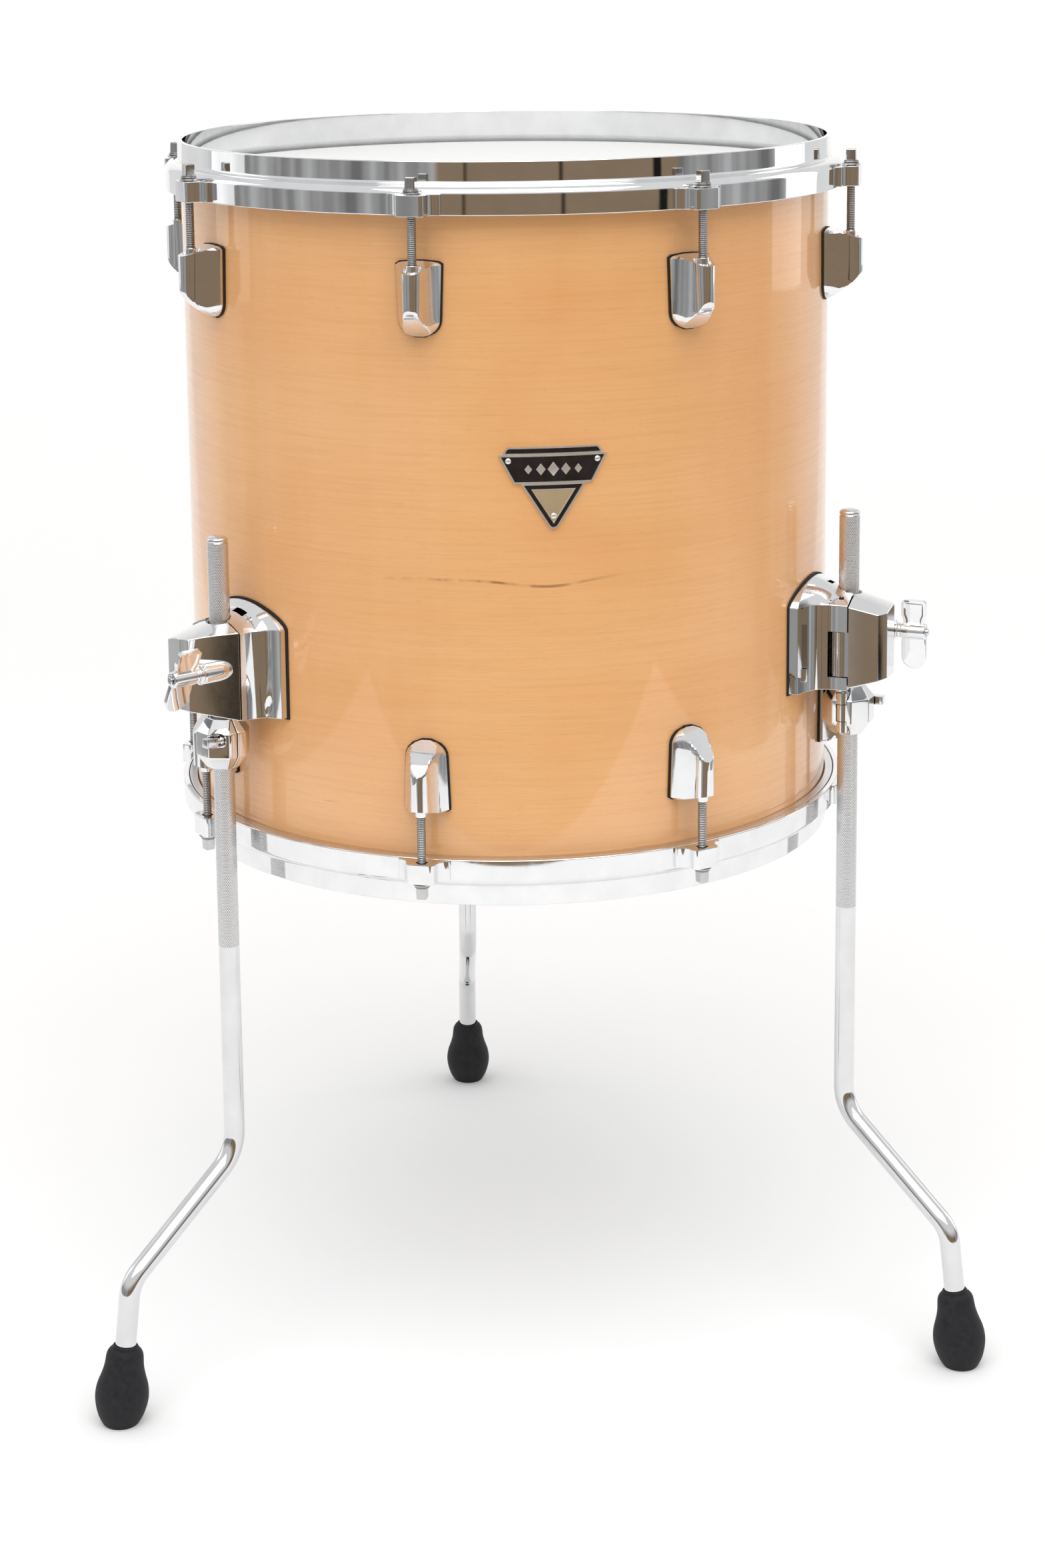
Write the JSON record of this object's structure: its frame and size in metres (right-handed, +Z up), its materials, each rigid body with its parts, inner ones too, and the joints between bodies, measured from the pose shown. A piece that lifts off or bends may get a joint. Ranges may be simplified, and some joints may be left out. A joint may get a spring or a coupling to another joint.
{
  "type": "floor tom drum",
  "caption": "Floor tom drum: a lacquered maple shell between two tension-rod hoops with heads, on three bent legs in hinged clamps with memory locks and rubber feet.",
  "frame": {"origin": "middle of the footprint on the floor, the centre of the bottom of the bounding box", "axes": "+Z up along the shell, -Y towards the badge side"},
  "size_m": [0.5472, 0.5692, 0.757],
  "materials": {
    "maple": "gloss lacquer over maple",
    "chrome": "polished chrome plate",
    "steel": "plated steel",
    "coated_film": "coated polyester film",
    "clear_film": "clear polyester film",
    "badge": "black enamel with metal borders",
    "rubber": "matt moulded rubber"
  },
  "bodies": {
    "root": {"shell": "maple", "badge": "badge", "air_vent": "rubber", "upper_lug_1": "chrome", "upper_lug_2": "chrome", "upper_lug_3": "chrome", "upper_lug_4": "chrome", "upper_lug_5": "chrome", "upper_lug_6": "chrome", "upper_lug_7": "chrome", "upper_lug_8": "chrome", "lower_lug_1": "chrome", "lower_lug_2": "chrome", "lower_lug_3": "chrome", "lower_lug_4": "chrome", "lower_lug_5": "chrome", "lower_lug_6": "chrome", "lower_lug_7": "chrome", "lower_lug_8": "chrome", "front_left_bracket_base": "chrome", "front_right_bracket_base": "chrome", "rear_bracket_base": "chrome"},
    "batter_hoop": {"batter_hoop": "chrome", "batter_head": "coated_film"},
    "resonant_hoop": {"resonant_hoop": "chrome", "resonant_head": "clear_film"},
    "upper_rod_1": {"upper_rod_1": "steel"},
    "upper_rod_2": {"upper_rod_2": "steel"},
    "upper_rod_3": {"upper_rod_3": "steel"},
    "upper_rod_4": {"upper_rod_4": "steel"},
    "upper_rod_5": {"upper_rod_5": "steel"},
    "upper_rod_6": {"upper_rod_6": "steel"},
    "upper_rod_7": {"upper_rod_7": "steel"},
    "upper_rod_8": {"upper_rod_8": "steel"},
    "lower_rod_1": {"lower_rod_1": "steel"},
    "lower_rod_2": {"lower_rod_2": "steel"},
    "lower_rod_3": {"lower_rod_3": "steel"},
    "lower_rod_4": {"lower_rod_4": "steel"},
    "lower_rod_5": {"lower_rod_5": "steel"},
    "lower_rod_6": {"lower_rod_6": "steel"},
    "lower_rod_7": {"lower_rod_7": "steel"},
    "lower_rod_8": {"lower_rod_8": "steel"},
    "front_left_memory_lock": {"front_left_memory_lock_body": "chrome"},
    "front_left_lock_jaw": {"front_left_memory_lock_jaw": "chrome"},
    "front_left_leg": {"front_left_leg": "steel", "front_left_rubber_foot": "rubber"},
    "front_left_jaw": {"front_left_bracket_jaw": "chrome"},
    "front_left_wing_nut": {"front_left_wing_nut": "chrome"},
    "front_right_memory_lock": {"front_right_memory_lock_body": "chrome"},
    "front_right_lock_jaw": {"front_right_memory_lock_jaw": "chrome"},
    "front_right_leg": {"front_right_leg": "steel", "front_right_rubber_foot": "rubber"},
    "front_right_jaw": {"front_right_bracket_jaw": "chrome"},
    "front_right_wing_nut": {"front_right_wing_nut": "chrome"},
    "rear_memory_lock": {"rear_memory_lock_body": "chrome"},
    "rear_lock_jaw": {"rear_memory_lock_jaw": "chrome"},
    "rear_leg": {"rear_leg": "steel", "rear_rubber_foot": "rubber"},
    "rear_jaw": {"rear_bracket_jaw": "chrome"},
    "rear_wing_nut": {"rear_wing_nut": "chrome"}
  },
  "joints": [
    {"name": "batter_hoop_lift", "type": "slide", "parent": "root", "child": "batter_hoop", "axis": [0, 0, 1], "range_m": [0, 0.08]},
    {"name": "resonant_hoop_drop", "type": "slide", "parent": "root", "child": "resonant_hoop", "axis": [0, 0, -1], "range_m": [0, 0.08]},
    {"name": "upper_rod_1_turn", "type": "hinge", "parent": "batter_hoop", "child": "upper_rod_1", "pos_m": [-0.2058, -0.16512, 0.735], "axis": [0, 0, 1], "continuous": true},
    {"name": "upper_rod_2_turn", "type": "hinge", "parent": "batter_hoop", "child": "upper_rod_2", "pos_m": [-0.07118, -0.26472, 0.735], "axis": [0, 0, 1], "continuous": true},
    {"name": "upper_rod_3_turn", "type": "hinge", "parent": "batter_hoop", "child": "upper_rod_3", "pos_m": [0.09444, -0.23997, 0.735], "axis": [0, 0, 1], "continuous": true},
    {"name": "upper_rod_4_turn", "type": "hinge", "parent": "batter_hoop", "child": "upper_rod_4", "pos_m": [0.19405, -0.10536, 0.735], "axis": [0, 0, 1], "continuous": true},
    {"name": "upper_rod_5_turn", "type": "hinge", "parent": "batter_hoop", "child": "upper_rod_5", "pos_m": [0.1693, 0.06027, 0.735], "axis": [0, 0, 1], "continuous": true},
    {"name": "upper_rod_6_turn", "type": "hinge", "parent": "batter_hoop", "child": "upper_rod_6", "pos_m": [0.03468, 0.15988, 0.735], "axis": [0, 0, 1], "continuous": true},
    {"name": "upper_rod_7_turn", "type": "hinge", "parent": "batter_hoop", "child": "upper_rod_7", "pos_m": [-0.13094, 0.13512, 0.735], "axis": [0, 0, 1], "continuous": true},
    {"name": "upper_rod_8_turn", "type": "hinge", "parent": "batter_hoop", "child": "upper_rod_8", "pos_m": [-0.23055, 0.00051, 0.735], "axis": [0, 0, 1], "continuous": true},
    {"name": "lower_rod_1_turn", "type": "hinge", "parent": "resonant_hoop", "child": "lower_rod_1", "pos_m": [-0.2058, -0.16512, 0.341], "axis": [0, 0, 1], "continuous": true},
    {"name": "lower_rod_2_turn", "type": "hinge", "parent": "resonant_hoop", "child": "lower_rod_2", "pos_m": [-0.07118, -0.26472, 0.341], "axis": [0, 0, 1], "continuous": true},
    {"name": "lower_rod_3_turn", "type": "hinge", "parent": "resonant_hoop", "child": "lower_rod_3", "pos_m": [0.09444, -0.23997, 0.341], "axis": [0, 0, 1], "continuous": true},
    {"name": "lower_rod_4_turn", "type": "hinge", "parent": "resonant_hoop", "child": "lower_rod_4", "pos_m": [0.19405, -0.10536, 0.341], "axis": [0, 0, 1], "continuous": true},
    {"name": "lower_rod_5_turn", "type": "hinge", "parent": "resonant_hoop", "child": "lower_rod_5", "pos_m": [0.1693, 0.06027, 0.341], "axis": [0, 0, 1], "continuous": true},
    {"name": "lower_rod_6_turn", "type": "hinge", "parent": "resonant_hoop", "child": "lower_rod_6", "pos_m": [0.03468, 0.15988, 0.341], "axis": [0, 0, 1], "continuous": true},
    {"name": "lower_rod_7_turn", "type": "hinge", "parent": "resonant_hoop", "child": "lower_rod_7", "pos_m": [-0.13094, 0.13512, 0.341], "axis": [0, 0, 1], "continuous": true},
    {"name": "lower_rod_8_turn", "type": "hinge", "parent": "resonant_hoop", "child": "lower_rod_8", "pos_m": [-0.23055, 0.00051, 0.341], "axis": [0, 0, 1], "continuous": true},
    {"name": "front_left_leg_extend", "type": "slide", "parent": "root", "child": "front_left_memory_lock", "axis": [0, 0, -1], "range_m": [0, 0.04]},
    {"name": "front_left_leg_swivel", "type": "hinge", "parent": "front_left_memory_lock", "child": "front_left_leg", "pos_m": [-0.19176, -0.19802, 0.341], "axis": [0, 0, 1], "continuous": true},
    {"name": "front_left_lock_open", "type": "hinge", "parent": "front_left_memory_lock", "child": "front_left_lock_jaw", "pos_m": [-0.19934, -0.18898, 0.341], "axis": [0, 0, -1], "range_deg": [0, 20]},
    {"name": "front_left_jaw_open", "type": "hinge", "parent": "root", "child": "front_left_jaw", "pos_m": [-0.20114, -0.18605, 0.341], "axis": [0, 0, -1], "range_deg": [0, 4]},
    {"name": "front_left_wing_nut_turn", "type": "hinge", "parent": "front_left_jaw", "child": "front_left_wing_nut", "pos_m": [-0.18212, -0.20951, 0.4532], "axis": [-0.766, -0.6428, 0], "continuous": true},
    {"name": "front_right_leg_extend", "type": "slide", "parent": "root", "child": "front_right_memory_lock", "axis": [0, 0, -1], "range_m": [0, 0.04]},
    {"name": "front_right_leg_swivel", "type": "hinge", "parent": "front_right_memory_lock", "child": "front_right_leg", "pos_m": [0.19176, -0.13727, 0.341], "axis": [0, 0, 1], "continuous": true},
    {"name": "front_right_lock_open", "type": "hinge", "parent": "front_right_memory_lock", "child": "front_right_lock_jaw", "pos_m": [0.18734, -0.14821, 0.341], "axis": [0, 0, -1], "range_deg": [0, 20]},
    {"name": "front_right_jaw_open", "type": "hinge", "parent": "root", "child": "front_right_jaw", "pos_m": [0.1856, -0.15118, 0.341], "axis": [0, 0, -1], "range_deg": [0, 4]},
    {"name": "front_right_wing_nut_turn", "type": "hinge", "parent": "front_right_jaw", "child": "front_right_wing_nut", "pos_m": [0.19738, -0.12337, 0.4532], "axis": [0.9272, -0.3746, 0], "continuous": true},
    {"name": "rear_leg_extend", "type": "slide", "parent": "root", "child": "rear_memory_lock", "axis": [0, 0, -1], "range_m": [0, 0.04]},
    {"name": "rear_leg_swivel", "type": "hinge", "parent": "rear_memory_lock", "child": "rear_leg", "pos_m": [-0.05173, 0.17159, 0.341], "axis": [0, 0, 1], "continuous": true},
    {"name": "rear_lock_open", "type": "hinge", "parent": "rear_memory_lock", "child": "rear_lock_jaw", "pos_m": [-0.04006, 0.17333, 0.341], "axis": [0, 0, -1], "range_deg": [0, 20]},
    {"name": "rear_jaw_open", "type": "hinge", "parent": "root", "child": "rear_jaw", "pos_m": [-0.03662, 0.17334, 0.341], "axis": [0, 0, -1], "range_deg": [0, 4]},
    {"name": "rear_wing_nut_turn", "type": "hinge", "parent": "rear_jaw", "child": "rear_wing_nut", "pos_m": [-0.06656, 0.16937, 0.4532], "axis": [-0.1478, 0.989, 0], "continuous": true}
  ]
}
